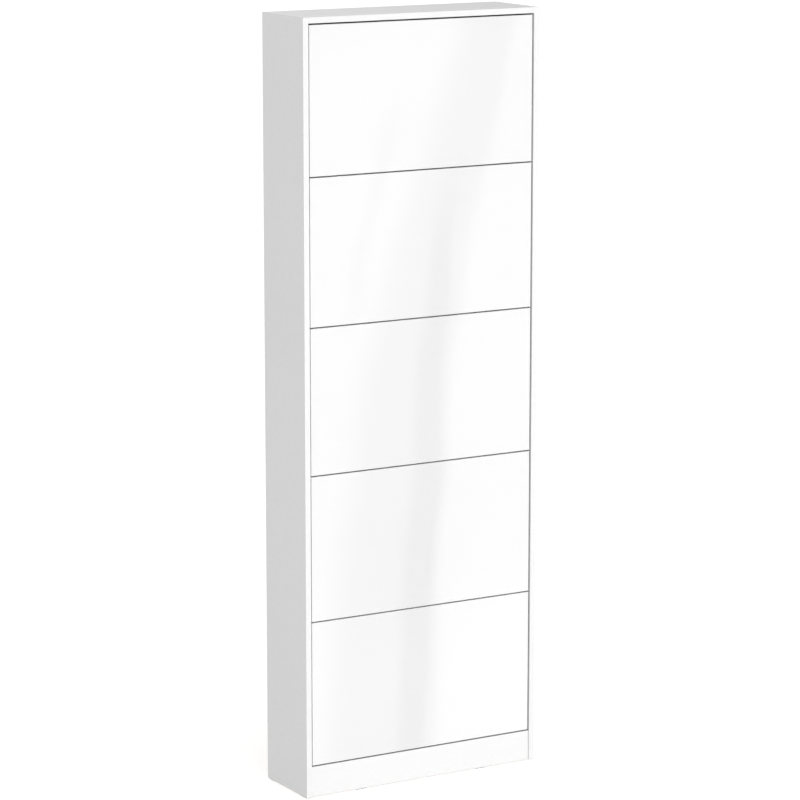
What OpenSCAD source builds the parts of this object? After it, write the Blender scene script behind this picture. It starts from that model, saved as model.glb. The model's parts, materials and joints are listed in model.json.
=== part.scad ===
// Slim shoe cabinet with tilt-out flaps, in millimetres.
// +X is the cabinet's right as seen from the front, -Y its front and +Z up.
// The origin is on the floor at the middle of the footprint. Flap 1 is the top one.

/* [Cabinet] */
// Overall width
cabinet_w = 585; // [520:1:700]
// Overall depth
cabinet_d = 180; // [180:1:220]
// Overall height, from the floor to the top face
cabinet_h = 1695; // [1600:1:1800]
// Thickness of the carcass boards
board_t = 13; // [12.5:0.5:16]
// Thickness of the back panels
back_t = 3; // [2.5:0.5:4]
// Height of the plinth's top edge above the floor
plinth_top = 69; // [64:1:100]
// Set-back of the plinth and the flaps behind the front edges of the sides
setback = 2.5; // [0:0.5:3]
// Thickness of the glides under the boards
glide_t = 1; // [1:0.5:4]

/* [Flaps] */
// Number of flaps, one above another
flap_count = 5; // [4:1:5]
// Thickness of a flap's front
front_t = 15; // [15:0.5:16]
// Gap between neighbouring flaps, and beside and below them
gap = 3; // [3:0.5:4]
// Gap between the top flap and the top panel
top_gap = 3.5; // [3:0.5:6]
// Height of the pivot above a flap's bottom edge
pivot_up = 90; // [88:1:95]
// Distance of the pivot behind the flap's front face
pivot_in = 20; // [20:0.1:20.5]
// Angle at which the stop pegs hold an open flap
open_angle = 45; // [30:1:46]

/* [Pocket] */
// Distance from the pivot back to the rear of the pocket
pocket_back = 108; // [95:1:108]
// Distance from the pivot down to the bottom of the brackets
pocket_down = 78; // [74:1:80]
// Clear height kept for the latch above the brackets
latch_room = 25; // [25:1:40]
// Thickness of the back and base boards of the pocket
pocket_board_t = 3; // [3:0.1:3.2]
// Gap between a bracket and the side board
bracket_gap = 3.5; // [3:0.5:4]
// Thickness of the brackets' web and front flange
web_t = 3; // [2.5:0.5:3.5]
// Thickness of the brackets' rim
rim_t = 2.8; // [2.5:0.1:3]
// Width of the brackets' rim, across the cabinet
rim_w = 14; // [12:0.5:15]

/* [Pivot and stop] */
// Diameter of the pivot pin's journal
pin_d = 6; // [5:0.5:7]
// Play all round the journal in the bracket's bore
pin_clearance = 0.08; // [0.05:0.01:0.1]
// Distance of the stop peg from the pivot
stop_r = 70; // [66:1:74]
// Angle of the stop peg behind the vertical through the pivot
stop_angle = 30; // [25:1:32]
// Diameter of the stop peg
stop_d = 6; // [5:0.5:7]

/* [Latch] */
// Travel of the latch plunger
latch_travel = 14; // [8:1:18]
// Diameter of the latch plunger
plunger_d = 8; // [7:0.5:8]
// Turns of the latch spring
spring_turns = 6; // [4:1:8]

/* [Hidden] */
$fn = 48;
half_w = cabinet_w / 2;
inner_w = half_w - board_t;          // half the width between the side boards
front_y = -cabinet_d / 2;
rear_y = cabinet_d / 2;
top_under = cabinet_h - board_t;
free = 0.2;                          // slack between a piece and the groove or bore that holds it
e = 0.01;                            // overshoot of a cut past the face that it opens

// Back panel and its groove
groove_w = back_t + 2 * free;
groove_depth = 7;
top_groove_depth = 6;
groove_y = rear_y - 12;
back_y = groove_y + free;
back_bottom = plinth_top - board_t;
back_joint = (back_bottom + top_under) / 2;

// Boards between the sides
plinth_y = front_y + setback;
rail_h = 80;
rail_y = groove_y - board_t;
upper_rail_z = top_under - rail_h;

// Flaps
flap_bottom = plinth_top + gap;
flap_h = (top_under - top_gap - flap_bottom - (flap_count - 1) * gap) / flap_count;
flap_w = inner_w - gap;              // half the width of a flap's front
lower_rail_z = flap_z(ceil(flap_count / 2) + 1) + flap_h + gap / 2 - rail_h / 2;
flap_y = front_y + setback;
pivot_y = flap_y + pivot_in;
front_back = front_t - pivot_in;     // back of the flap's front, measured from the pivot
pocket_r = flap_h - pivot_up - latch_room;
bracket_x = inner_w - bracket_gap;   // outer face of a bracket
flange_w = 18;
corner_r = 8;                        // lower rear corner of a bracket
pocket_board_end = bracket_x - web_t - 2 * free;
back_board_top = pocket_r - 39;
// How far past the start of the round corner the flat boards still fit inside the rim
corner_reach = sqrt(pow(corner_r - rim_t, 2) - pow(corner_r - rim_t - free, 2)) - 0.1;
rib_t = 2.2;
rib_w = 8;
boss_r = 8;
boss_w = 12;

// Fasteners
cam_r = 7.4;
cam_depth = 9.3;
cam_in = 24;                         // distance of a cam's axis from the board's end
bolt_r = 2.5;
bolt_depth = 9;
dowel_r = 3;
dowel_l = 30;
dowel_in_side = 9;
nail_r = 0.8;
nail_l = 14;
screw_r = 1.6;
screw_in = 11;
head_r = 3.4;
head_t = 2.2;
small_screw_r = 1.5;
small_head_r = 3;
small_head_t = 1.8;
press_r = 4;                         // root of the pivot pins and stop pegs in the side boards
press_depth = 9;
wall_hole_r = 2.75;
wall_hole_x = 200;
wall_hole_z = top_under - rail_h / 2;

// Latch
latch_x = inner_w - 9.5;
latch_up = flap_h - 12;
latch_body_w = 15;
latch_plate_t = 2;
latch_front = front_y + 40;
latch_body_l = 70;
latch_bore_l = 66;
latch_rest_gap = 0.3;
strike_t = 1.5;
tip_r = 4.6;
tip_l = 3;
plunger_l = latch_travel + 46;        // the rest stays guided in the housing
spring_r = 2.9;
wire_r = 0.45;

flap_numbers = [for (i = [1:flap_count]) i];
bracket_screws = [-60, 60, pocket_r - 24];
stop_margin = 0.1;
slot_r = stop_d / 2 + 0.6;
slot_trim = (slot_r - stop_d / 2 - stop_margin) / stop_r * 180 / PI;

// Cams and dowels of the boards that lie flat, as [y, z], with the cams opening downwards
flat_cams = [for (z = [cabinet_h - board_t / 2, plinth_top - board_t / 2], y = [-28, 40]) [y, z]];
flat_dowels = [for (z = [cabinet_h - board_t / 2, plinth_top - board_t / 2], y = [-60, 62]) [y, z]];
// Cams and dowels of the boards that stand on edge, as [y, z], with the cams opening backwards
edge_cams = concat([[plinth_y + board_t / 2, 29]],
    [for (z = [upper_rail_z, lower_rail_z]) [rail_y + board_t / 2, z + rail_h / 2]]);
edge_dowels = concat([for (z = [13, 48]) [plinth_y + board_t / 2, z]],
    [for (z = [upper_rail_z, lower_rail_z], s = [15, rail_h - 15]) [rail_y + board_t / 2, z + s]]);
// Nails through the back panels, as [x, z]
nails = concat([for (x = [-240:120:240]) [x, plinth_top - board_t / 2]],
    [for (x = [-225:150:225]) [x, lower_rail_z + rail_h / 2]],
    [for (x = [-240:160:240]) [x, upper_rail_z + rail_h - 14]]);
// Glides, as [x, y, angle]
glides = concat([for (x = [-1, 1], y = [-1, 1]) [x * (half_w - board_t / 2), y * (rear_y - 18), 90]],
    [for (x = [-1, 1]) [x * inner_w * 0.55, plinth_y + board_t / 2, 0]]);

function flap_name(i, part) = str("flap_", i, "_", part);
function flap_z(i) = flap_bottom + (flap_count - i) * (flap_h + gap);
function pivot_z(i) = flap_z(i) + pivot_up;

FLAP_PARTS = ["front", "bracket_left", "bracket_right", "back_board", "base_board", "screws", "strike_plate"];

// ---- Shapes that repeat ----

// Box between two corners
module span(low, high) {
    translate(low) cube(high - low);
}

// Round bar from a point along +X, +Y or +Z
module bar_x(at, r, l) {
    translate(at) rotate([0, 90, 0]) cylinder(r = r, h = l);
}
module bar_y(at, r, l) {
    translate(at) rotate([-90, 0, 0]) cylinder(r = r, h = l);
}
module bar_z(at, r, l) {
    translate(at) cylinder(r = r, h = l);
}

// Rectangle with round corners, centred
module round_rect(w, h, r) {
    square([w - 2 * r, h], center = true);
    square([w, h - 2 * r], center = true);
    for (x = [-1, 1], y = [-1, 1])
        translate([x * (w / 2 - r), y * (h / 2 - r)]) circle(r);
}

// Both ends of the cabinet: the child is drawn at the right and mirrored to the left
module both_ends() {
    children();
    mirror([1, 0, 0]) children();
}

// Pozidriv-like cross, cut into a screw head that faces +Z at height 0
module cross_recess(size, depth) {
    for (a = [0, 90])
        rotate([0, 0, a]) translate([-size / 2, -size / 8, -depth]) cube([size, size / 4, depth + e]);
}

// Pan-head screw whose head rests at height 0 and whose shank points down
module pan_screw(r, l, hr, ht) {
    difference() {
        union() {
            translate([0, 0, -l]) cylinder(r = r, h = l);
            translate([0, 0, -l - 2]) cylinder(r1 = 0.3, r2 = r, h = 2);
            cylinder(r = hr, h = ht * 0.45);
            translate([0, 0, ht * 0.45]) cylinder(r1 = hr, r2 = hr * 0.62, h = ht * 0.55);
        }
        translate([0, 0, ht]) cross_recess(hr * 1.05, ht * 0.6);
    }
}

// ---- Carcass ----

// Bores at one end of a board for its bolts and dowels, along X
module end_bores(cams, dowels) {
    for (c = cams)
        bar_x([inner_w - cam_in, c[0], c[1]], bolt_r + 1, cam_in + e);
    for (d = dowels)
        bar_x([inner_w - (dowel_l - dowel_in_side) - 0.5, d[0], d[1]], dowel_r + 0.1,
            dowel_l - dowel_in_side + 0.5 + e);
}

module flat_cam_bore(c) {
    bar_z([inner_w - cam_in, c[0], c[1] - board_t / 2 - e], cam_r + 0.1, cam_depth + 0.3);
}

module edge_cam_bore(c) {
    bar_y([inner_w - cam_in, c[0] + board_t / 2 - cam_depth - 0.3, c[1]], cam_r + 0.1, cam_depth + 0.3 + e);
}

module side_board() {
    difference() {
        span([inner_w, front_y, glide_t], [half_w, rear_y, cabinet_h]);
        span([inner_w - e, groove_y, glide_t - e],
            [inner_w + groove_depth, groove_y + groove_w, top_under + top_groove_depth]);
        for (c = concat(flat_cams, edge_cams))
            bar_x([inner_w - e, c[0], c[1]], bolt_r + 0.1, bolt_depth + 0.5);
        for (d = concat(flat_dowels, edge_dowels))
            bar_x([inner_w - e, d[0], d[1]], dowel_r + 0.1, dowel_in_side + 0.5);
        for (i = flap_numbers) {
            bar_x([inner_w - e, pivot_y, pivot_z(i)], press_r + 0.05, press_depth + 0.3);
            bar_x([inner_w - e, stop_y(), stop_z(i)], press_r + 0.05, press_depth + 0.3);
        }
        for (g = glides)
            if (g[2] == 90)
                bar_z([abs(g[0]), g[1], glide_t - e], nail_r + 0.15, 10.5);
    }
}

module side_left() {
    color("white") mirror([1, 0, 0]) side_board();
}

module side_right() {
    color("white") difference() {
        side_board();
        for (i = flap_numbers, y = latch_screw_y())
            bar_x([inner_w - e, y, latch_z(i)], small_screw_r + 0.1, press_depth + 2.3);
    }
}

module top_panel() {
    z = cabinet_h - board_t;
    cams = [for (c = flat_cams) if (c[1] > z) c];
    color("white") difference() {
        span([-inner_w, front_y, z], [inner_w, rear_y, cabinet_h]);
        span([-inner_w - e, groove_y, z - e], [inner_w + e, groove_y + groove_w, z + top_groove_depth]);
        both_ends() {
            end_bores(cams, [for (d = flat_dowels) if (d[1] > z) d]);
            for (c = cams)
                flat_cam_bore(c);
        }
    }
}

module bottom_panel() {
    cams = [for (c = flat_cams) if (c[1] < plinth_top) c];
    color("white") difference() {
        span([-inner_w, plinth_y + board_t, back_bottom], [inner_w, groove_y, plinth_top]);
        both_ends() {
            end_bores(cams, [for (d = flat_dowels) if (d[1] < plinth_top) d]);
            for (c = cams)
                flat_cam_bore(c);
        }
        nail_holes();
    }
}

module plinth() {
    color("white") difference() {
        span([-inner_w, plinth_y, glide_t], [inner_w, plinth_y + board_t, plinth_top]);
        both_ends() {
            end_bores([edge_cams[0]], [for (d = edge_dowels) if (d[0] < 0) d]);
            edge_cam_bore(edge_cams[0]);
        }
        for (g = glides)
            if (g[2] == 0)
                bar_z([g[0], g[1], glide_t - e], nail_r + 0.15, 10.5);
    }
}

module rail(z) {
    cams = [for (c = edge_cams) if (c[1] > z && c[1] < z + rail_h) c];
    difference() {
        span([-inner_w, rail_y, z], [inner_w, rail_y + board_t, z + rail_h]);
        both_ends() {
            end_bores(cams, [for (d = edge_dowels) if (d[1] > z && d[1] < z + rail_h) d]);
            for (c = cams)
                edge_cam_bore(c);
        }
        nail_holes();
    }
}

module wall_holes() {
    for (x = [-1, 1])
        bar_y([x * wall_hole_x, rail_y - e, wall_hole_z], wall_hole_r, board_t + back_t + 4 * free);
}

module rail_upper() {
    color("white") difference() {
        rail(upper_rail_z);
        wall_holes();
    }
}

module rail_lower() {
    color("white") rail(lower_rail_z);
}

// Pilot holes for the back nails, through the back and into the board in front of it
module nail_holes() {
    for (n = nails)
        bar_y([n[0], back_y + back_t - nail_l - 0.3, n[1]], nail_r + 0.1, nail_l + 0.3 + e);
}

module back_sheet(z0, z1) {
    half = inner_w + groove_depth - 0.5;
    difference() {
        span([-half, back_y, z0], [half, back_y + back_t, z1]);
        nail_holes();
    }
}

module back_upper() {
    color("gainsboro") difference() {
        back_sheet(back_joint + 0.6, top_under + top_groove_depth - 0.5);
        wall_holes();
    }
}

module back_lower() {
    color("gainsboro") back_sheet(back_bottom, back_joint - 0.6);
}

// H-shaped strip that holds the two back panels edge to edge
module back_joiner() {
    wall = 1;
    half = inner_w - 0.3;
    color("white") difference() {
        span([-half, back_y - wall - 0.1, back_joint - 8],
            [half, back_y + back_t + wall + 0.1, back_joint + 8]);
        for (s = [-1, 1])
            span([-half - e, back_y - 0.1, back_joint + (s > 0 ? 0.5 : -8 - e)],
                [half + e, back_y + back_t + 0.1, back_joint + (s > 0 ? 8 + e : -0.5)]);
    }
}

// ---- Fasteners of the carcass ----

// Cam whose open face is at height 0 and whose body goes up, with the bolt arriving from +X
module cam() {
    axis_h = board_t / 2;
    color("silver") difference() {
        translate([0, 0, 0.1]) cylinder(r = cam_r, h = cam_depth - 0.1);
        translate([-4, 0, axis_h]) rotate([0, 90, 0]) cylinder(r = 3.2, h = cam_r + 5);
        translate([0, 0, 0.1]) mirror([0, 0, 1]) cross_recess(9, 2.2);
    }
}

module cam_housings() {
    both_ends() {
        for (c = flat_cams)
            translate([inner_w - cam_in, c[0], c[1] - board_t / 2]) cam();
        for (c = edge_cams)
            translate([inner_w - cam_in, c[0] + board_t / 2, c[1]]) rotate([90, 0, 0]) cam();
    }
}

// Bolt along X: its thread is in the side board and its head in the cam
module cam_bolt(y, z) {
    bar_x([inner_w, y, z], bolt_r, bolt_depth);
    bar_x([inner_w - 2.5, y, z], bolt_r + 0.8, 2.5);
    bar_x([inner_w - cam_in, y, z], 1.9, cam_in - 2);
    bar_x([inner_w - cam_in - 2, y, z], 2.9, 4);
}

module cam_bolts() {
    color("silver") both_ends()
        for (c = concat(flat_cams, edge_cams))
            cam_bolt(c[0], c[1]);
}

module wood_dowel(y, z) {
    tip = 1.5;
    start = inner_w + dowel_in_side - dowel_l;
    translate([start, y, z]) rotate([0, 90, 0]) {
        cylinder(r1 = dowel_r - 1, r2 = dowel_r, h = tip);
        translate([0, 0, tip]) cylinder(r = dowel_r, h = dowel_l - 2 * tip);
        translate([0, 0, dowel_l - tip]) cylinder(r1 = dowel_r, r2 = dowel_r - 1, h = tip);
    }
}

module wood_dowels() {
    color("burlywood") both_ends()
        for (d = concat(flat_dowels, edge_dowels))
            wood_dowel(d[0], d[1]);
}

module back_nails() {
    color("silver") for (n = nails) {
        bar_y([n[0], back_y + back_t - nail_l, n[1]], nail_r, nail_l + 0.5);
        bar_y([n[0], back_y + back_t, n[1]], 2, 0.7);
    }
}

// Screws that hold the latch housings to the right side board
module small_screws() {
    color("silver") for (i = flap_numbers, y = latch_screw_y())
        translate([inner_w - latch_plate_t, y, latch_z(i)]) rotate([0, -90, 0])
            pan_screw(small_screw_r, press_depth, small_head_r, small_head_t);
}

module glides() {
    color("dimgray") for (g = glides)
        translate([g[0], g[1], 0]) rotate([0, 0, g[2]]) {
            linear_extrude(glide_t) round_rect(28, board_t - 2, 3);
            cylinder(r = nail_r, h = glide_t + 10);
        }
}

// ---- Pivots and stops, pressed into the side boards ----

function stop_y() = pivot_y + stop_r * sin(stop_angle);
function stop_z(i) = pivot_z(i) + stop_r * cos(stop_angle);

// Stepped pin along X: root in the board, collar in the gap, end through the bracket
module stepped_pin(y, z, collar_r, collar_w, end_r, end_l) {
    collar_x = inner_w - collar_w;
    bar_x([inner_w - e, y, z], press_r, press_depth + e);
    bar_x([collar_x, y, z], collar_r, collar_w);
    bar_x([collar_x - end_l, y, z], end_r, end_l + e);
    translate([collar_x - end_l - 1, y, z]) rotate([0, 90, 0]) cylinder(r1 = end_r - 1, r2 = end_r, h = 1);
}

module pivot_pins() {
    collar_w = gap - 0.4;
    color("silver") both_ends()
        for (i = flap_numbers)
            stepped_pin(pivot_y, pivot_z(i), 6.5, collar_w, pin_d / 2, bracket_gap + boss_w - collar_w);
}

module stop_pegs() {
    color("dimgray") both_ends()
        for (i = flap_numbers)
            stepped_pin(stop_y(), stop_z(i), 5.5, bracket_gap - 1, stop_d / 2, web_t + 4);
}

// ---- Latches ----

function latch_z(i) = flap_z(i) + latch_up;
function latch_screw_y() = [latch_front - 7, latch_front + latch_body_l + 7];

module latch_housings() {
    color("lightgray") for (i = flap_numbers)
        difference() {
            union() {
                translate([latch_x, latch_front + latch_body_l, latch_z(i)]) rotate([90, 0, 0])
                    linear_extrude(latch_body_l) round_rect(latch_body_w, latch_body_w, 3);
                translate([inner_w - latch_plate_t, latch_front + latch_body_l / 2, latch_z(i)])
                    rotate([0, 90, 0]) linear_extrude(latch_plate_t) round_rect(14, latch_body_l + 28, 4);
            }
            bar_y([latch_x, latch_front - e, latch_z(i)], plunger_d / 2 + 0.1, latch_bore_l);
            for (y = latch_screw_y())
                bar_x([inner_w - latch_plate_t - e, y, latch_z(i)], small_screw_r + 0.2,
                    latch_plate_t + 2 * e);
        }
}

// Coil spring behind each plunger, compressed by the closed flap. The flat outline that is
// twisted is stretched round the axis, so that the wire comes out about as thick as it is wide.
module latch_springs() {
    room = latch_bore_l - (plunger_l - (latch_front - plunger_y())) - 1;
    slope = atan(room / spring_turns / (2 * PI * spring_r));
    half_a = wire_r / sin(slope) / spring_r * 180 / PI;
    corners = [[0, -1], [1, -0.5], [1, 0.5], [0, 1], [-1, 0.5], [-1, -0.5]];
    color("silver") for (i = flap_numbers)
        translate([latch_x, latch_front + latch_bore_l - 0.4, latch_z(i)]) rotate([90, 0, 0])
            linear_extrude(room, twist = -360 * spring_turns, slices = spring_turns * 10, $fn = 6)
                polygon([for (c = corners)
                    [cos(c[1] * half_a), sin(c[1] * half_a)] * (spring_r + c[0] * wire_r)]);
}

function plunger_y() = pivot_y + front_back + strike_t + latch_rest_gap;

module plunger(i) {
    color("white") {
        bar_y([latch_x, plunger_y() + tip_l - e, latch_z(i)], plunger_d / 2, plunger_l - tip_l + e);
        bar_y([latch_x, plunger_y(), latch_z(i)], tip_r, tip_l);
    }
}

// ---- Flaps ----

module flap_front(i) {
    y = flap_y + front_t - screw_in - 0.5;
    color("white") difference() {
        span([-flap_w, flap_y, flap_z(i)], [flap_w, flap_y + front_t, flap_z(i) + flap_h]);
        both_ends()
            for (z = bracket_screws)
                bar_y([bracket_x - 10, y, pivot_z(i) + z], screw_r + 0.1, screw_in + 0.5 + e);
        bar_y([strike_screw_x(), y, latch_z(i)], small_screw_r + 0.1, screw_in + 0.5 + e);
    }
}

function strike_screw_x() = latch_x - 14;

module flap_strike_plate(i) {
    y = flap_y + front_t;
    mid = latch_x - 7;
    color("silver") difference() {
        translate([mid, y + strike_t, latch_z(i)]) rotate([90, 0, 0])
            linear_extrude(strike_t) round_rect(26, 12, 2.5);
        bar_y([strike_screw_x(), y - e, latch_z(i)], small_screw_r + 0.2, strike_t + 2 * e);
    }
}

// Outline of a bracket in [behind the pivot, above the pivot], drawn in by a margin.
// Its top is an arc round the pivot, so that it clears the flap above as it swings.
module bracket_outline(margin) {
    r = corner_r - margin;
    front = front_back + margin;
    back = pocket_back - margin;
    bottom = -pocket_down + margin;
    intersection() {
        union() {
            translate([front, bottom]) square([back - front - r, pocket_r - bottom]);
            translate([front, bottom + r]) square([back - front, pocket_r - bottom - r]);
            translate([back - r, bottom + r]) circle(r);
        }
        circle(pocket_r - margin);
    }
}

// Part of a ring round the pivot, between two angles behind the vertical
module ring_sector(r0, r1, a0, a1) {
    reach = r1 * 1.5;
    intersection() {
        difference() {
            circle(r1);
            circle(r0);
        }
        polygon([[0, 0], [sin(a0), cos(a0)] * reach, [sin((a0 + a1) / 2), cos((a0 + a1) / 2)] * reach,
            [sin(a1), cos(a1)] * reach]);
    }
}

// Slot that the stop peg runs in, with round ends
module stop_slot(margin) {
    a0 = stop_angle + slot_trim;
    a1 = stop_angle + open_angle - slot_trim;
    ring_sector(stop_r - slot_r - margin, stop_r + slot_r + margin, a0, a1);
    for (a = [a0, a1])
        translate([sin(a), cos(a)] * stop_r) circle(slot_r + margin);
}

// Lightening windows of the web, as [inner radius, outer radius, first angle, last angle]
windows = [[94, pocket_r - 18, 5, 16], [94, pocket_r - 22, 20, 29], [92, 114, 36, 54], [24, 58, 96, 150]];

// One radial rib of a bracket
module rib(angle, r0, r1) {
    rotate(-angle) translate([-rib_t / 2, r0]) square([rib_t, r1 - r0]);
}

// Places a flat outline in [behind, above the pivot] on a bracket, from its outer face inwards
module on_bracket(from, thickness) {
    translate([bracket_x - from - thickness, 0, 0]) rotate([90, 0, 90])
        linear_extrude(thickness) children();
}

module bracket(i) {
    rib_end = pocket_r - 2;
    translate([0, pivot_y, pivot_z(i)]) difference() {
        union() {
            on_bracket(0, web_t) difference() {
                bracket_outline(0);
                for (w = windows)
                    ring_sector(w[0], w[1], w[2], w[3]);
            }
            // rim along the rear, the bottom and the arc
            on_bracket(web_t - e, rim_w - web_t) difference() {
                bracket_outline(0);
                bracket_outline(rim_t);
            }
            // flange against the flap's front
            on_bracket(web_t - e, flange_w - web_t) intersection() {
                bracket_outline(0);
                translate([front_back, -pocket_down]) square([web_t, pocket_down + pocket_r]);
            }
            // ribs between the windows, and the raised edge of the stop slot
            on_bracket(web_t - e, rib_w) intersection() {
                bracket_outline(rim_t / 2);
                union() {
                    rib(2, boss_r - 1, rib_end);
                    rib(18, boss_r - 1, rib_end);
                    rib(32, stop_r + slot_r + 1, 118);
                    rib(92, boss_r - 1, pocket_back - 8);
                    rib(153, boss_r - 1, 77);
                    // grooves of the back board and the base board
                    translate([pocket_back - rim_t - groove_gap() - rib_t, -pocket_down + 20])
                        square([rib_t, back_board_top + pocket_down - 24]);
                    translate([front_back, -pocket_down + rim_t + groove_gap()])
                        square([pocket_back - front_back - 26, rib_t]);
                }
            }
            on_bracket(web_t - e, 3) difference() {
                stop_slot(2);
                stop_slot(0);
            }
            on_bracket(web_t - e, boss_w - web_t) intersection() {
                circle(boss_r);
                translate([front_back, -boss_r]) square(2 * boss_r);
            }
        }
        on_bracket(-e, web_t + 5) stop_slot(0);
        bar_x([bracket_x - boss_w - 1, 0, 0], pin_d / 2 + pin_clearance, boss_w + 2);
        for (z = bracket_screws)
            bar_y([bracket_x - 10, front_back - e, z], screw_r + 0.2, web_t + 2 * e);
    }
}

function groove_gap() = pocket_board_t + 2 * free;

module flap_bracket_right(i) {
    color("lightgray") bracket(i);
}

module flap_bracket_left(i) {
    color("lightgray") mirror([1, 0, 0]) bracket(i);
}

module flap_back_board(i) {
    y = pivot_y + pocket_back - rim_t - free - pocket_board_t;
    color("white") span([-pocket_board_end, y, pivot_z(i) - pocket_down + corner_r - corner_reach],
        [pocket_board_end, y + pocket_board_t, pivot_z(i) + back_board_top]);
}

module flap_base_board(i) {
    z = pivot_z(i) - pocket_down + rim_t + free;
    color("white") span([-pocket_board_end, flap_y + front_t + web_t + free, z],
        [pocket_board_end, pivot_y + pocket_back - corner_r + corner_reach, z + pocket_board_t]);
}

// Screws of the brackets and of the strike plate
module flap_screws(i) {
    y = flap_y + front_t;
    color("silver") {
        both_ends()
            for (z = bracket_screws)
                translate([bracket_x - 10, y + web_t, pivot_z(i) + z]) rotate([-90, 0, 0])
                    pan_screw(screw_r, screw_in, head_r, head_t);
        translate([strike_screw_x(), y + strike_t, latch_z(i)]) rotate([-90, 0, 0])
            pan_screw(small_screw_r, screw_in - 1, small_head_r, small_head_t);
    }
}

// ---- The nodes ----

side_left();
side_right();
top_panel();
bottom_panel();
plinth();
rail_upper();
rail_lower();
back_upper();
back_lower();
back_joiner();
pivot_pins();
stop_pegs();
cam_housings();
cam_bolts();
wood_dowels();
back_nails();
small_screws();
glides();
latch_housings();
latch_springs();
for (i = flap_numbers) {
    flap_front(i);
    flap_bracket_left(i);
    flap_bracket_right(i);
    flap_back_board(i);
    flap_base_board(i);
    flap_screws(i);
    flap_strike_plate(i);
    plunger(i);
}
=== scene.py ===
"""The looks of a slim white shoe cabinet with tilt-out flaps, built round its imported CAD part."""

import json
from math import radians

import bmesh
import bpy
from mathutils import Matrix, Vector


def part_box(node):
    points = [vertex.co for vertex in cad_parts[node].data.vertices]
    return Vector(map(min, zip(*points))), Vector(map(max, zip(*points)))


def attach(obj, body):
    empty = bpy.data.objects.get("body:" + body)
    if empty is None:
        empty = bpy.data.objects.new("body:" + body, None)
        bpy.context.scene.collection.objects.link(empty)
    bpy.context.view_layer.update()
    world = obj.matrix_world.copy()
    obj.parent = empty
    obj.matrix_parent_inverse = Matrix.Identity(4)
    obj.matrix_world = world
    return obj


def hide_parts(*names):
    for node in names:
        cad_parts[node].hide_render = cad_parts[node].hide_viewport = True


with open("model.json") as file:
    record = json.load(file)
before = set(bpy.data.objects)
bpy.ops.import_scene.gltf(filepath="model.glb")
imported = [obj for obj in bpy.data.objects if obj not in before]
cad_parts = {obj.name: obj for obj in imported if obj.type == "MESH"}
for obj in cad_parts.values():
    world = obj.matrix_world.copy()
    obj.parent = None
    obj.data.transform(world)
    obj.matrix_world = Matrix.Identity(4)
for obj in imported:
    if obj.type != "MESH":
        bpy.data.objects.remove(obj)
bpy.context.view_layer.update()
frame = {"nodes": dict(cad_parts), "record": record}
NODES = frame["nodes"]
BODIES = frame["record"]["behaviour"]["bodies"]
BODY_OF = {node: body for body, members in BODIES.items() for node in members}
FLAPS = sorted(int(body.split("_")[1]) for body in BODIES if body.startswith("flap_"))
MM = 0.001
X, Y, Z = 0, 1, 2
LOW, HIGH = 0, 1

# ---------------------------------------------------------------- camera

CAMERA_AT = (-3.7502, -6.3755, 2.2656)
CAMERA_YAW = 30.432  # degrees to the right of straight ahead
CAMERA_PITCH = 10.905  # degrees below the horizon
LENS = 154.468
SENSOR = 36

camera = bpy.data.objects.new("camera", bpy.data.cameras.new("camera"))
camera.data.sensor_width = SENSOR
camera.data.lens = LENS
camera.data.clip_start = 0.1
camera.data.clip_end = 100
camera.location = CAMERA_AT
camera.rotation_euler = (radians(90 - CAMERA_PITCH), 0, radians(-CAMERA_YAW))
bpy.context.scene.collection.objects.link(camera)
bpy.context.scene.camera = camera

# ---------------------------------------------------------------- materials

NOISE_REACH = (0.3, 0.7)  # a noise texture seldom leaves these values


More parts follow.
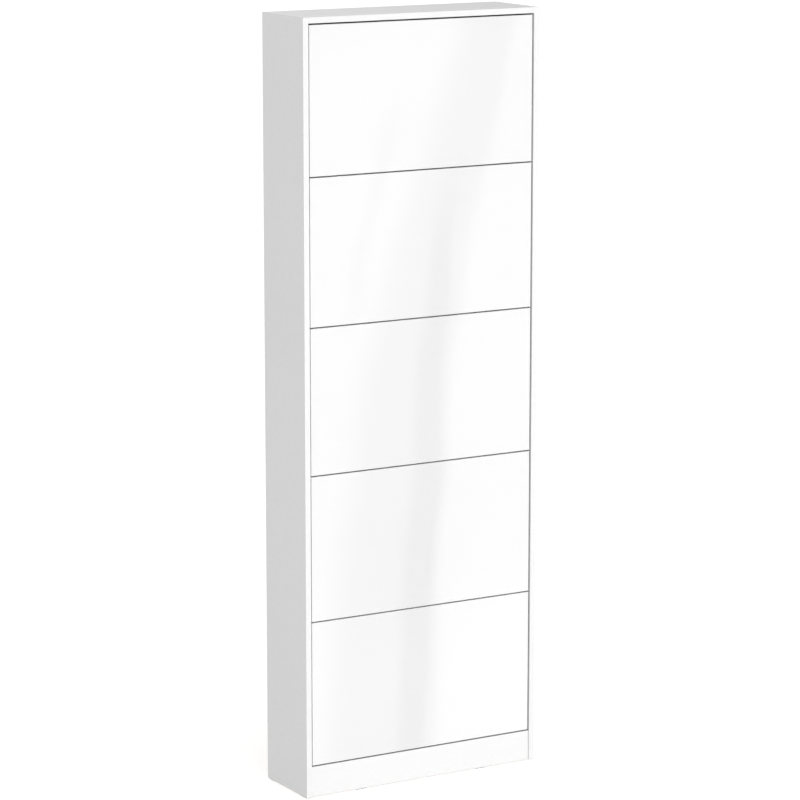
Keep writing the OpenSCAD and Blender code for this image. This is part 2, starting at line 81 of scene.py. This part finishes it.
class Shader:
    """A node material under construction, on coordinates fixed to the object, in metres."""

    def __init__(self, name, tint, roughness, **sockets):
        self.material = bpy.data.materials.new(name)
        self.material.use_nodes = True
        self.tree = self.material.node_tree
        self.surface = self.tree.nodes["Principled BSDF"]
        self.surface.inputs["Base Color"].default_value = (*tint, 1)
        self.surface.inputs["Roughness"].default_value = roughness
        for socket, value in sockets.items():
            self.surface.inputs[socket.replace("_", " ")].default_value = value
        self.place = self.tree.nodes.new("ShaderNodeTexCoord").outputs["Object"]
        self.normal = None

    def node(self, kind, **settings):
        made = self.tree.nodes.new("ShaderNode" + kind)
        for key, value in settings.items():
            setattr(made, key, value)
        return made

    def feed(self, socket, value):
        """Links a socket to the value, or sets it where the value is a plain one."""
        if isinstance(value, bpy.types.NodeSocket):
            self.tree.links.new(value, socket)
        else:
            socket.default_value = value

    def stretch(self, x, y, z):
        """The coordinates, scaled along each axis."""
        mapping = self.node("Mapping")
        self.feed(mapping.inputs["Vector"], self.place)
        mapping.inputs["Scale"].default_value = (x, y, z)
        return mapping.outputs["Vector"]

    def noise(self, per_metre, detail=2.0, place=None, distortion=0.0):
        made = self.node("TexNoise")
        self.feed(made.inputs["Vector"], place or self.place)
        made.inputs["Scale"].default_value = per_metre
        made.inputs["Detail"].default_value = detail
        made.inputs["Distortion"].default_value = distortion
        return made.outputs["Fac"]

    def cells(self, per_metre, output="Distance", place=None):
        made = self.node("TexVoronoi")
        self.feed(made.inputs["Vector"], place or self.place)
        made.inputs["Scale"].default_value = per_metre
        return made.outputs[output]

    def waves(self, per_metre, axis, distortion):
        made = self.node("TexWave", wave_type="BANDS", bands_direction=axis)
        self.feed(made.inputs["Vector"], self.place)
        made.inputs["Scale"].default_value = per_metre
        made.inputs["Distortion"].default_value = distortion
        made.inputs["Detail"].default_value = 0
        return made.outputs["Fac"]

    def spread(self, value, low, high, to_low=0.0, to_high=1.0, curve="LINEAR"):
        """value from low to high, mapped on to to_low to to_high and held there."""
        made = self.node("MapRange", interpolation_type=curve)
        self.feed(made.inputs["Value"], value)
        for socket, number in zip(("From Min", "From Max", "To Min", "To Max"),
                                  (low, high, to_low, to_high)):
            made.inputs[socket].default_value = number
        return made.outputs["Result"]

    def step(self, value, at_zero, at_one):
        """A soft step from 0 to 1 between two values, in either direction."""
        return self.spread(value, at_zero, at_one, curve="SMOOTHERSTEP")

    def calc(self, a, operation, b):
        made = self.node("Math", operation=operation)
        self.feed(made.inputs[0], a)
        self.feed(made.inputs[1], b)
        return made.outputs[0]

    def blend(self, factor, a, b):
        """Colour a where factor is 0 and b where it is 1; each is a triple or a socket."""
        made = self.node("Mix", data_type="RGBA")
        self.feed(made.inputs["Factor"], factor)
        for socket, value in ((made.inputs[6], a), (made.inputs[7], b)):
            self.feed(socket, value if isinstance(value, bpy.types.NodeSocket) else (*value, 1))
        return made.outputs[2]

    def colour(self, value):
        self.feed(self.surface.inputs["Base Color"], value)

    def mottle(self, pattern, tint, dark, light, reach=NOISE_REACH):
        """Varies the colour by a pattern, from dark times the tint to light times the tint."""
        self.colour(self.blend(self.spread(pattern, *reach), shade(tint, dark), shade(tint, light)))

    def rough(self, pattern, low, high):
        """Varies the roughness by a noise, from low to high."""
        self.feed(self.surface.inputs["Roughness"], self.spread(pattern, *NOISE_REACH, low, high))

    def relief(self, height, millimetres, strength=1.0):
        """Adds a relief of that depth to the surface."""
        made = self.node("Bump")
        made.inputs["Distance"].default_value = millimetres * MM
        made.inputs["Strength"].default_value = strength
        self.feed(made.inputs["Height"], height)
        if self.normal is not None:
            self.feed(made.inputs["Normal"], self.normal)
        self.normal = made.outputs["Normal"]
        self.feed(self.surface.inputs["Normal"], self.normal)


def shade(tint, factor=1.0):
    """A grey number or a colour triple, as a triple scaled by a factor."""
    return tuple(c * factor for c in tint) if isinstance(tint, tuple) else (tint * factor,) * 3


def melamine(name, grey):
    """Chipboard faced with white melamine, with a fine pearl texture pressed into it."""
    s = Shader(name, shade(grey), 0.45, Specular_IOR_Level=0.4)
    speck = s.noise(330, 3)
    patch = s.calc(s.noise(2.5, 1), "MULTIPLY", 0.25)
    s.mottle(s.calc(speck, "ADD", patch), grey, 0.965, 1.03, reach=(0.4, 0.85))
    s.rough(s.noise(240, 2), 0.36, 0.52)
    s.relief(s.cells(620), 0.05, 0.7)
    s.relief(s.noise(1400, 2), 0.03, 0.6)
    return s.material


def edge_band(name, grey, coat=0.0):
    """Plastic edge band, smoother than the face, with faint draw lines along the edge."""
    s = Shader(name, shade(grey), 0.34, Specular_IOR_Level=0.45, Coat_Weight=coat,
               Coat_Roughness=0.08)
    s.mottle(s.noise(45, 2), grey, 0.985, 1.01)
    s.rough(s.noise(90, 2, s.stretch(1, 1, 0.15)), 0.28, 0.42)
    s.relief(s.noise(160, 1, s.stretch(1, 1, 0.2)), 0.02, 0.5)
    return s.material


def gloss_front(name, grey):
    """Gloss lacquer on fibreboard: a mirror-like coat with a slow waviness and orange peel."""
    s = Shader(name, shade(grey), 0.28, Specular_IOR_Level=0.5, Coat_Weight=1.0,
               Coat_Roughness=0.035, Coat_IOR=1.55)
    s.mottle(s.noise(3, 1), grey, 0.992, 1.008)
    s.relief(s.noise(3.2, 1, s.stretch(1, 1, 0.55)), 0.35, 0.8)
    s.relief(s.noise(14, 1), 0.02, 0.6)
    s.relief(s.noise(260, 1), 0.0025, 0.5)
    s.feed(s.surface.inputs["Coat Normal"], s.normal)
    return s.material


def chipboard(name):
    """The raw edge of chipboard: pressed flakes in several browns with small voids."""
    s = Shader(name, (0.45, 0.33, 0.2), 0.85)
    flakes = s.spread(s.cells(420, "Color", s.stretch(1, 1, 1.8)), 0.1, 0.9)
    s.colour(s.blend(flakes, (0.27, 0.18, 0.1), (0.62, 0.49, 0.32)))
    s.relief(s.noise(500, 3), 0.25)
    return s.material


def hardboard_face(name, grey):
    """Thin fibreboard with white paint on its good side."""
    s = Shader(name, shade(grey), 0.5)
    s.mottle(s.noise(120, 4), grey, 0.97, 1.02)
    s.rough(s.noise(60, 2), 0.42, 0.58)
    s.relief(s.noise(380, 3), 0.04, 0.6)
    return s.material


def hardboard_rear(name):
    """The unpainted side of thin fibreboard: felted fibres with the press screen's mark."""
    s = Shader(name, (0.3, 0.19, 0.11), 0.8)
    fibre = s.noise(170, 6, s.stretch(1, 1, 0.35), 0.6)
    clouds = s.calc(s.noise(6, 3), "MULTIPLY", 0.5)
    tone = s.spread(s.calc(fibre, "ADD", clouds), 0.5, 1.0)
    s.colour(s.blend(tone, (0.235, 0.145, 0.08), (0.40, 0.27, 0.165)))
    s.relief(s.calc(s.waves(105, "X", 0.4), "MULTIPLY", s.waves(105, "Z", 0.4)), 0.12, 0.5)
    s.relief(s.noise(900, 3), 0.06)
    return s.material


def moulded(name, tint, roughness=0.45, grain_mm=0.03):
    """Injection-moulded plastic with an eroded texture and faint flow marks."""
    s = Shader(name, tint, roughness, Specular_IOR_Level=0.45)
    s.mottle(s.noise(26, 3, distortion=1.2), tint, 0.96, 1.03)
    s.rough(s.noise(180, 2), roughness - 0.06, roughness + 0.08)
    s.relief(s.noise(900, 2), grain_mm)
    return s.material


def metal(name, tint, roughness, grain_mm=0.01):
    """Bare or plated metal with a fine grain and uneven shine."""
    s = Shader(name, tint, roughness, Metallic=1.0)
    grain = s.noise(420, 3)
    s.mottle(grain, tint, 0.86, 1.08)
    s.rough(s.noise(150, 3), roughness - 0.1, roughness + 0.14)
    s.relief(grain, grain_mm)
    return s.material


def beech_dowel(name):
    """Turned beech with short dark rays and the flutes of a dowel, along X."""
    s = Shader(name, (0.62, 0.43, 0.25), 0.6)
    grain = s.spread(s.noise(300, 4, s.stretch(0.12, 1, 1)), *NOISE_REACH)
    rays = s.spread(s.noise(900, 1, s.stretch(0.3, 1, 1)), 0.62, 0.72)
    wood = s.blend(grain, (0.5, 0.33, 0.18), (0.68, 0.49, 0.3))
    s.colour(s.blend(rays, wood, (0.36, 0.21, 0.11)))
    s.relief(s.noise(800, 2, s.stretch(0.05, 1, 1)), 0.12)
    return s.material


BOARD_WHITE = 0.568
BAND_SHADE = 0.96  # the edge band beside the faces of the boards
GLOSS_WHITE = 0.50
GLOSS_EDGE_WHITE = 0.84
PAINT_WHITE = 0.7
MATERIALS = {
    "melamine": melamine("melamine", BOARD_WHITE),
    "edge": edge_band("edge_band", BOARD_WHITE * BAND_SHADE),
    "gloss": gloss_front("gloss_lacquer", GLOSS_WHITE),
    "gloss_edge": edge_band("gloss_edge_band", GLOSS_EDGE_WHITE, coat=0.6),
    "chipboard": chipboard("raw_chipboard"),
    "hardboard": hardboard_face("painted_hardboard", PAINT_WHITE),
    "hardboard_rear": hardboard_rear("raw_hardboard"),
    "grey_plastic": moulded("grey_plastic", (0.50, 0.51, 0.52)),
    "white_plastic": moulded("white_plastic", (0.72, 0.72, 0.71), 0.38, 0.015),
    "dark_plastic": moulded("dark_plastic", (0.025, 0.025, 0.027), 0.5),
    "zinc_plate": metal("zinc_plate", (0.62, 0.64, 0.67), 0.28),
    "zinc_casting": metal("zinc_casting", (0.42, 0.43, 0.44), 0.46, 0.03),
    "spring_wire": metal("spring_wire", (0.35, 0.35, 0.36), 0.3),
    "beech": beech_dowel("beech_dowel"),
}

# ---------------------------------------------------------------- pieces

FLAT_ANGLE = radians(0.5)  # faces that meet at less than this are one face
SHARP_ANGLE = radians(35)  # edges over this can be rounded
CREASE_ANGLE = radians(50)  # edges over this are still creases after the rounding
FACES_ALONG = 0.9  # the share of a normal along an axis over which a face looks that way
MERGE = 1e-6  # metres: vertices closer than this are one
TOUCH = 1e-5  # metres: what lies closer than this to a wall lies on it


def soften(node, radius_mm, pick, faces, default, segments=2):
    """A copy of a CAD node with rounded edges, which then stands for it.

    pick says which edges to round, and faces is a list of (test, material), where a test reads a
    face of the sharp shape. A face that passes none has the default material.
    """
    bm = bmesh.new()
    bm.from_mesh(NODES[node].data)
    bmesh.ops.remove_doubles(bm, verts=bm.verts, dist=MERGE)
    bmesh.ops.dissolve_limit(bm, angle_limit=FLAT_ANGLE, verts=bm.verts, edges=bm.edges,
                             use_dissolve_boundaries=False)
    for face in bm.faces:
        passed = (i + 1 for i, (test, _) in enumerate(faces) if test(face))
        face.material_index = next(passed, 0)
    sharp = [e for e in bm.edges if len(e.link_faces) == 2 and e.calc_face_angle(0) > SHARP_ANGLE]
    bmesh.ops.bevel(bm, geom=[e for e in sharp if pick(e)], offset=radius_mm * MM,
                    segments=segments, affect="EDGES", profile=0.5, clamp_overlap=True,
                    material=-1)
    finish_piece(bm, node, [default] + [material for _, material in faces])


def finish_piece(bm, node, materials):
    """Makes the mesh into the piece that stands for a CAD node, and puts it on its body."""
    for face in bm.faces:
        face.smooth = True
    for edge in bm.edges:
        edge.smooth = len(edge.link_faces) == 2 and edge.calc_face_angle(0) < CREASE_ANGLE
    mesh = bpy.data.meshes.new(node + "_piece")
    bm.to_mesh(mesh)
    bm.free()
    for name in materials:
        mesh.materials.append(MATERIALS[name])
    piece = bpy.data.objects.new(node + "_piece", mesh)
    bpy.context.scene.collection.objects.link(piece)
    normals = piece.modifiers.new("flat_faces_stay_flat", "WEIGHTED_NORMAL")
    normals.mode = "FACE_AREA"
    normals.keep_sharp = True
    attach(piece, BODY_OF[node])
    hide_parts(node)


def outline_edge(node):
    """Picks the edges along the twelve edges of a node's box, so that bores stay sharp."""
    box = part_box(node)

    def walls_at(point):
        return {(axis, side) for axis in (X, Y, Z) for side in (LOW, HIGH)
                if abs(point[axis] - box[side][axis]) < TOUCH}

    return lambda edge: len(walls_at(edge.verts[0].co) & walls_at(edge.verts[1].co)) == 2


def longer_than(millimetres):
    """Picks the edges that are longer than that, so that the facets of small arcs stay."""
    return lambda edge: edge.calc_length() > millimetres * MM


def facing(axis, sign=0):
    """Tests whether a face looks along an axis; sign 0 takes both directions."""
    def test(face):
        along = face.normal[axis]
        return (along * sign if sign else abs(along)) > FACES_ALONG
    return test


def on_wall(node, axis, side):
    """Tests whether a face lies on the low or high wall of a node's box along an axis."""
    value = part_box(node)[side][axis]
    look = facing(axis, 1 if side == HIGH else -1)
    return lambda face: look(face) and abs(face.calc_center_median()[axis] - value) < TOUCH


def walls_of(node, material, *walls):
    return [(on_wall(node, axis, side), material) for axis, side in walls]


# Radii in millimetres, and the longest facet of the brackets' small arcs
SIDE_ROUND = 0.45
BOARD_ROUND = 0.5
BACK_ROUND = 0.3
FRONT_ROUND = 0.4
BRACKET_ROUND = 0.4
BRACKET_FACET = 1.2

# Carcass boards: how far each is rounded, its walls with an edge band, and its walls left raw
BOARDS = {
    "side_left": (SIDE_ROUND, [(Y, LOW), (Y, HIGH), (Z, HIGH)], [(Z, LOW)]),
    "side_right": (SIDE_ROUND, [(Y, LOW), (Y, HIGH), (Z, HIGH)], [(Z, LOW)]),
    "top_panel": (BOARD_ROUND, [(Y, LOW), (Y, HIGH)], []),
    "bottom_panel": (BOARD_ROUND, [], [(Y, HIGH)]),
    "plinth": (BOARD_ROUND, [(Z, HIGH)], [(Z, LOW)]),
    "rail_upper": (BOARD_ROUND, [(Z, LOW), (Z, HIGH)], []),
    "rail_lower": (BOARD_ROUND, [(Z, LOW), (Z, HIGH)], []),
}
for board, (radius, banded, raw) in BOARDS.items():
    soften(board, radius, outline_edge(board),
           walls_of(board, "edge", *banded) + walls_of(board, "chipboard", *raw), "melamine")
for board in ("back_upper", "back_lower"):
    soften(board, BACK_ROUND, outline_edge(board), walls_of(board, "hardboard", (Y, LOW)),
           "hardboard_rear")

for n in FLAPS:
    front = f"flap_{n}_front"
    edges = [(facing(X), "gloss_edge"), (facing(Z), "gloss_edge")]
    soften(front, FRONT_ROUND, outline_edge(front),
           edges + walls_of(front, "melamine", (Y, HIGH)), "gloss", segments=3)
    for side in ("left", "right"):
        soften(f"flap_{n}_bracket_{side}", BRACKET_ROUND, longer_than(BRACKET_FACET), [],
               "grey_plastic")

# CAD nodes that are shown as they are
FINISHES = {
    "back_joiner": "white_plastic",
    "pivot_pins": "zinc_plate",
    "stop_pegs": "dark_plastic",
    "cam_housings": "zinc_casting",
    "cam_bolts": "zinc_plate",
    "wood_dowels": "beech",
    "back_nails": "zinc_plate",
    "small_screws": "zinc_plate",
    "glides": "dark_plastic",
    "latch_housings": "grey_plastic",
    "latch_springs": "spring_wire",
}
for n in FLAPS:
    FINISHES[f"flap_{n}_back_board"] = "hardboard"
    FINISHES[f"flap_{n}_base_board"] = "hardboard"
    FINISHES[f"flap_{n}_screws"] = "zinc_plate"
    FINISHES[f"flap_{n}_strike_plate"] = "zinc_plate"
    FINISHES[f"latch_{n}_plunger"] = "white_plastic"
for node, finish in FINISHES.items():
    mesh = NODES[node].data
    mesh.materials.clear()
    mesh.materials.append(MATERIALS[finish])

# ---------------------------------------------------------------- stage and light


def sheet(name, corners, material):
    """A flat rectangle that belongs to the stage."""
    mesh = bpy.data.meshes.new(name)
    mesh.from_pydata([Vector(c) for c in corners], [], [(0, 1, 2, 3)])
    mesh.materials.append(material)
    made = bpy.data.objects.new(name, mesh)
    bpy.context.scene.collection.objects.link(made)
    return made


FLOOR_HALF = 60
FLOOR_WHITE = 0.78
FLOOR_GLOW = 0.38
floor_shader = Shader("studio_floor", shade(FLOOR_WHITE), 0.9, Specular_IOR_Level=0.1,
                      Emission_Color=(1, 1, 1, 1), Emission_Strength=FLOOR_GLOW)
floor_shader.mottle(floor_shader.noise(1.5, 2), FLOOR_WHITE, 0.995, 1.005)
floor = sheet("floor", [(-FLOOR_HALF, -FLOOR_HALF, 0), (FLOOR_HALF, -FLOOR_HALF, 0),
                        (FLOOR_HALF, FLOOR_HALF, 0), (-FLOOR_HALF, FLOOR_HALF, 0)],
              floor_shader.material)
floor.visible_glossy = False

WORLD_LIGHT = 0.92
HORIZON_LIGHT = 1.06  # as bright as the floor on screen, so that no edge shows where they meet
HORIZON_BAND = (0.02, 0.12)  # the rise over which the one becomes the other
world = bpy.data.worlds.new("studio")
bpy.context.scene.world = world
world.use_nodes = True
sky = world.node_tree.nodes
upward = sky.new("ShaderNodeSeparateXYZ")
horizon = sky.new("ShaderNodeMapRange")
for socket, number in zip(("From Min", "From Max", "To Min", "To Max"),
                          (*HORIZON_BAND, HORIZON_LIGHT, WORLD_LIGHT)):
    horizon.inputs[socket].default_value = number
sky["Background"].inputs["Color"].default_value = (1, 1, 1, 1)
for start, end in ((sky.new("ShaderNodeTexCoord").outputs["Generated"], upward.inputs[0]),
                   (upward.outputs["Z"], horizon.inputs["Value"]),
                   (horizon.outputs["Result"], sky["Background"].inputs["Strength"])):
    world.node_tree.links.new(start, end)

# A bright screen that only the gloss fronts mirror. It has a dim, leaning band with a soft left
# edge and a harder right edge, and it fades into the light of the world along its rim.
SCREEN_Y = -2.5
SCREEN_X = (-0.2, 3.4)
SCREEN_Z = (-3.0, 3.8)
SCREEN_FADE = 0.6
SCREEN_GLOW = 2.3
BAND_GLOW = 0.1
# Added towards the foot of the screen, to make up for the cabinet's own shade on the floor
FOOT_GLOW = 0.6
FOOT_RISE = (0.05, -0.75)
# Lines that the band follows, as x = foot + lean * z + bend * z * z
VEIL_LEFT = (1.175, 0.157, 0.085)
VEIL_RIGHT = (1.515, 0.082, 0.058)
CORE_LEFT = (1.395, 0.087, 0.031)
CORE_RIGHT = (1.492, 0.074, 0.012)
STREAK_LEFT = (1.034, 0.23, 0.0)
STREAK_RIGHT = (1.084, 0.23, 0.0)
# How wide the soft edges along those lines are, left and right
VEIL_EDGES = (0.16, 0.05)
CORE_EDGES = (0.06, 0.03)
STREAK_EDGES = (0.04, 0.04)
# Heights at which the core and the two ends of the streak are gone, and at which they are full
CORE_TOP = (1.2, 0.7)
STREAK_FOOT = (0.45, 0.65)
STREAK_TOP = (1.3, 1.1)
STREAK_STRENGTH = 0.55
SWAY = 0.09  # how far the lines waver
SWAYS_PER_METRE = 2.2


def screen_material():
    """The light of the screen: a veil with a darker core, and a faint streak to their left."""
    s = Shader("mirrored_screen", (0, 0, 0), 1.0)
    s.tree.nodes.remove(s.surface)
    split = s.node("SeparateXYZ")
    s.feed(split.inputs[0], s.place)
    x, z = split.outputs["X"], split.outputs["Z"]
    wander = s.calc(s.noise(SWAYS_PER_METRE, 1, s.stretch(0.2, 1, 1)), "SUBTRACT", 0.5)
    swayed = s.calc(x, "ADD", s.calc(wander, "MULTIPLY", SWAY))

    def past(line, softness):
        """How far a point lies to the right of a line, as a soft step."""
        foot, lean, bend = line
        slope = s.calc(s.calc(z, "MULTIPLY", bend), "ADD", lean)
        at = s.calc(s.calc(slope, "MULTIPLY", z), "ADD", foot)
        return s.step(s.calc(swayed, "SUBTRACT", at), -softness / 2, softness / 2)

    def between(left, right, edges):
        return s.calc(past(left, edges[0]), "SUBTRACT", past(right, edges[1]))

    veil = between(VEIL_LEFT, VEIL_RIGHT, VEIL_EDGES)
    core = s.calc(between(CORE_LEFT, CORE_RIGHT, CORE_EDGES), "MULTIPLY", s.step(z, *CORE_TOP))
    ends = s.calc(s.step(z, *STREAK_FOOT), "MULTIPLY", s.step(z, *STREAK_TOP))
    streak = s.calc(between(STREAK_LEFT, STREAK_RIGHT, STREAK_EDGES), "MULTIPLY", ends)
    band = s.calc(s.calc(veil, "ADD", core), "ADD", s.calc(streak, "MULTIPLY", STREAK_STRENGTH))
    rim = None
    for value, (low, high) in ((x, SCREEN_X), (z, SCREEN_Z)):
        for start, stop in ((low, low + SCREEN_FADE), (high, high - SCREEN_FADE)):
            fade = s.step(value, start, stop)
            rim = fade if rim is None else s.calc(rim, "MULTIPLY", fade)
    lit = s.calc(s.spread(band, 0, 2, SCREEN_GLOW - WORLD_LIGHT, BAND_GLOW - WORLD_LIGHT), "ADD",
                 s.calc(s.step(z, *FOOT_RISE), "MULTIPLY", FOOT_GLOW))
    glow = s.node("Emission")
    s.feed(glow.inputs["Strength"], s.calc(s.calc(lit, "MULTIPLY", rim), "ADD", WORLD_LIGHT))
    s.feed(s.tree.nodes["Material Output"].inputs["Surface"], glow.outputs[0])
    return s.material


screen = sheet("mirrored_screen",
               [(SCREEN_X[0], SCREEN_Y, SCREEN_Z[0]), (SCREEN_X[1], SCREEN_Y, SCREEN_Z[0]),
                (SCREEN_X[1], SCREEN_Y, SCREEN_Z[1]), (SCREEN_X[0], SCREEN_Y, SCREEN_Z[1])],
               screen_material())
screen.visible_camera = False
screen.visible_diffuse = False
screen.visible_shadow = False


def area_light(name, place, target, size, watts):
    """A rectangular light that gloss fronts don't mirror."""
    light = bpy.data.lights.new(name, "AREA")
    light.shape = "RECTANGLE"
    light.size, light.size_y = size
    light.energy = watts
    made = bpy.data.objects.new(name, light)
    made.location = place
    made.rotation_euler = (Vector(target) - Vector(place)).to_track_quat("-Z", "Y").to_euler()
    bpy.context.scene.collection.objects.link(made)
    made.visible_glossy = False


area_light("key", place=(0, -5.0, 0.48), target=(0, 0, 0.48), size=(4.2, 0.92), watts=168)
area_light("overhead", place=(-0.33, 0, 2.6), target=(-0.33, 0, 1.7), size=(0.4, 0.4), watts=2.1)

bpy.context.scene.view_settings.view_transform = "Standard"
